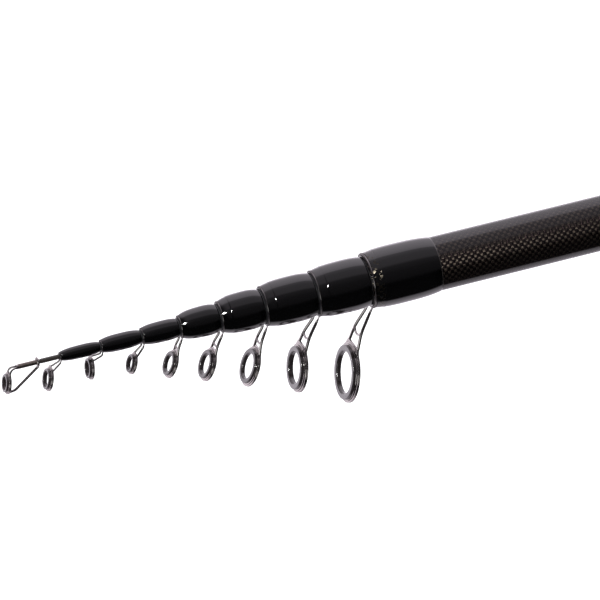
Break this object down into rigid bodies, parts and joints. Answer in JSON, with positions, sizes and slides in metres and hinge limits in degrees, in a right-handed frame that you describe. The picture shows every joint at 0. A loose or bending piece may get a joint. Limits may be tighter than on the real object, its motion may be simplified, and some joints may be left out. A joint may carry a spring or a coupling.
{
  "type": "telescopic fishing rod",
  "caption": "Closed telescopic carbon fishing rod with black lacquered noses, wire-framed line guides, reel seat, rubber grip and screw butt cap",
  "frame": {"origin": "On the rod's axis at the middle of the grip sleeve", "axes": "+X runs along the rod towards the butt cap, -X towards the tip; the guides and the reel's foot are on the -Z side; Y is across the rod"},
  "size_m": [0.6989, 0.0348, 0.073],
  "materials": {
    "woven_carbon": "gloss",
    "plain_carbon": "satin",
    "black_lacquer": "gloss",
    "guide_steel": "polished",
    "ring_ceramic": "gloss",
    "tip_glass_fibre": "gloss",
    "grip_rubber": "matt",
    "seat_plastic": "satin",
    "hood_aluminium": "brushed",
    "nut_aluminium": "anodised",
    "seat_aluminium": "satin",
    "cap_rubber": "matt"
  },
  "bodies": {
    "butt": {"butt_tube": "woven_carbon", "butt_nose_wrap": "black_lacquer", "butt_guide_frame": "guide_steel", "butt_guide_ring": "ring_ceramic", "grip_sleeve": "grip_rubber", "seat_barrel": "seat_plastic", "seat_fixed_hood": "hood_aluminium", "seat_front_ring": "seat_aluminium", "seat_rear_ring": "seat_aluminium", "butt_bush": "seat_aluminium"},
    "section_2": {"section_2_tube": "plain_carbon", "section_2_nose_wrap": "black_lacquer", "section_2_guide_frame": "guide_steel", "section_2_guide_ring": "ring_ceramic"},
    "section_3": {"section_3_tube": "plain_carbon", "section_3_nose_wrap": "black_lacquer", "section_3_guide_frame": "guide_steel", "section_3_guide_ring": "ring_ceramic"},
    "section_4": {"section_4_tube": "plain_carbon", "section_4_nose_wrap": "black_lacquer", "section_4_guide_frame": "guide_steel", "section_4_guide_ring": "ring_ceramic"},
    "section_5": {"section_5_tube": "plain_carbon", "section_5_nose_wrap": "black_lacquer", "section_5_guide_frame": "guide_steel", "section_5_guide_ring": "ring_ceramic"},
    "section_6": {"section_6_tube": "plain_carbon", "section_6_nose_wrap": "black_lacquer", "section_6_guide_frame": "guide_steel", "section_6_guide_ring": "ring_ceramic"},
    "section_7": {"section_7_tube": "plain_carbon", "section_7_nose_wrap": "black_lacquer", "section_7_guide_frame": "guide_steel", "section_7_guide_ring": "ring_ceramic"},
    "section_8": {"section_8_tube": "plain_carbon", "section_8_nose_wrap": "black_lacquer", "section_8_guide_frame": "guide_steel", "section_8_guide_ring": "ring_ceramic"},
    "tip_section": {"tip_rod": "tip_glass_fibre", "tip_sleeve": "guide_steel", "tip_guide_frame": "guide_steel", "tip_guide_ring": "ring_ceramic"},
    "hood": {"seat_sliding_hood": "hood_aluminium"},
    "nut": {"seat_lock_nut": "nut_aluminium"},
    "cap_ring": {"cap_seal": "cap_rubber"},
    "cap": {"cap_plug": "seat_aluminium", "cap_bumper": "cap_rubber", "cap_pad": "cap_rubber"}
  },
  "joints": [
    {"name": "slide_2", "type": "slide", "parent": "butt", "child": "section_2", "axis": [-1, 0, 0], "range_m": [0, 0.4537]},
    {"name": "slide_3", "type": "slide", "parent": "section_2", "child": "section_3", "axis": [-1, 0, 0], "range_m": [0, 0.4821]},
    {"name": "slide_4", "type": "slide", "parent": "section_3", "child": "section_4", "axis": [-1, 0, 0], "range_m": [0, 0.5098]},
    {"name": "slide_5", "type": "slide", "parent": "section_4", "child": "section_5", "axis": [-1, 0, 0], "range_m": [0, 0.5339]},
    {"name": "slide_6", "type": "slide", "parent": "section_5", "child": "section_6", "axis": [-1, 0, 0], "range_m": [0, 0.5552]},
    {"name": "slide_7", "type": "slide", "parent": "section_6", "child": "section_7", "axis": [-1, 0, 0], "range_m": [0, 0.5753]},
    {"name": "slide_8", "type": "slide", "parent": "section_7", "child": "section_8", "axis": [-1, 0, 0], "range_m": [0, 0.5959]},
    {"name": "slide_tip", "type": "slide", "parent": "section_8", "child": "tip_section", "axis": [-1, 0, 0], "range_m": [0, 0.6165]},
    {"name": "hood_slide", "type": "slide", "parent": "butt", "child": "hood", "axis": [-1, 0, 0], "range_m": [0, 0.0229]},
    {"name": "nut_turn", "type": "hinge", "parent": "hood", "child": "nut", "pos_m": [-0.105, 0, 0], "axis": [-1, 0, 0], "range_deg": [0, 3960]},
    {"name": "cap_travel", "type": "slide", "parent": "butt", "child": "cap_ring", "axis": [1, 0, 0], "range_m": [0, 0.0141]},
    {"name": "cap_turn", "type": "hinge", "parent": "cap_ring", "child": "cap", "pos_m": [0.087, 0, 0], "axis": [1, 0, 0], "range_deg": [0, 3240]}
  ],
  "couplings": [
    {"joint": "hood_slide", "follows": "nut_turn", "m_per_rad": 0.00031831},
    {"joint": "cap_travel", "follows": "cap_turn", "m_per_rad": 0.00023873}
  ]
}
